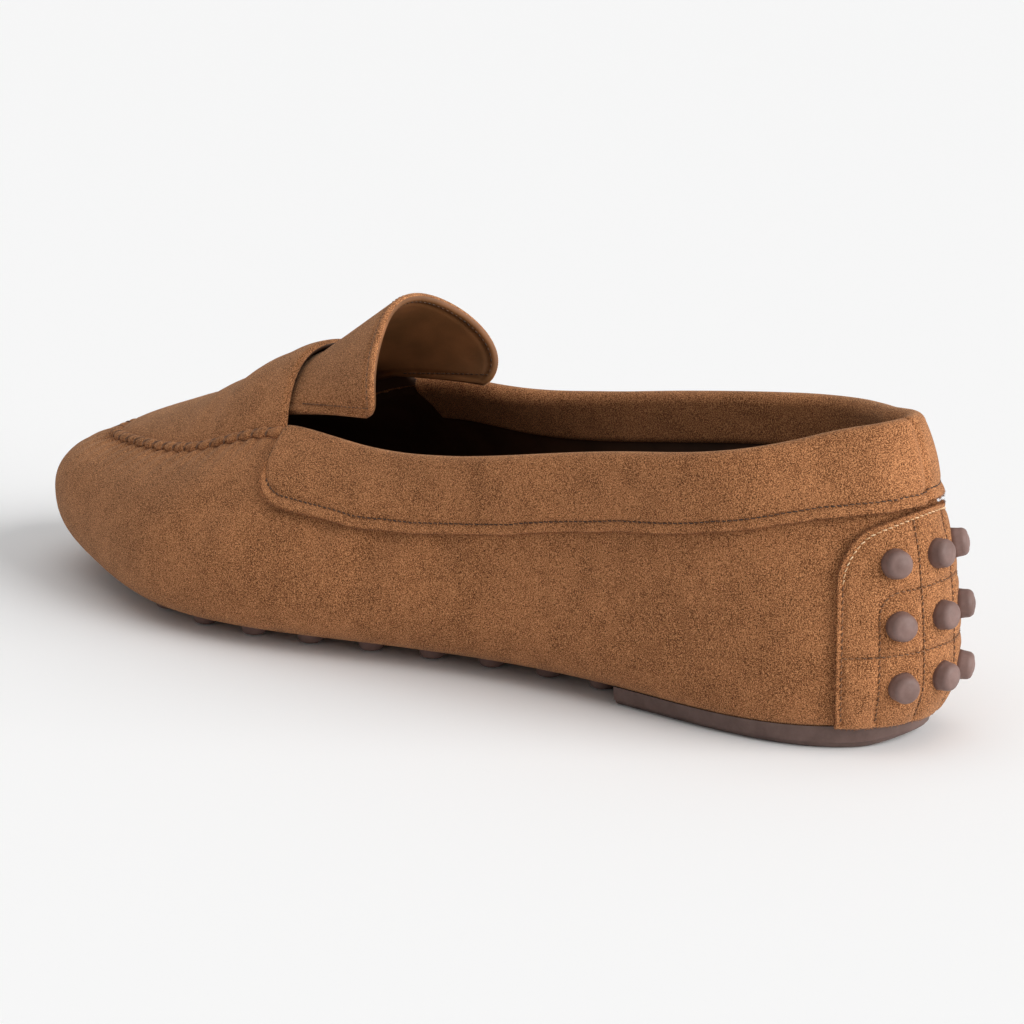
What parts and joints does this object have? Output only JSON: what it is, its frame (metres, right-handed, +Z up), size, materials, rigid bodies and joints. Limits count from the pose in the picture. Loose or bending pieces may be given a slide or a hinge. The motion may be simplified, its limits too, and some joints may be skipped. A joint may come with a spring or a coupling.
{
  "type": "driving moccasin",
  "caption": "Left suede driving moccasin with a folded collar band, an arched tongue, a rubber heel pad, and rubber studs under the foot and up the back of the heel.",
  "frame": {"origin": "middle of the shoe's footprint on the floor it stands on", "axes": "+Y towards the toe, +X towards the inner side of the foot, +Z up"},
  "size_m": [0.1012, 0.2902, 0.0882],
  "materials": {
    "suede": "tan brown suede with a short nap",
    "lining": "smooth dark brown lining leather",
    "rubber": "matte dark brown moulded rubber"
  },
  "bodies": {
    "root": {"upper": "suede", "collar_band": "suede", "heel_patch": "suede", "tongue": "suede", "insole": "lining", "heel_studs": "rubber", "sole_studs": "rubber", "heel_pad": "rubber"}
  },
  "joints": []
}
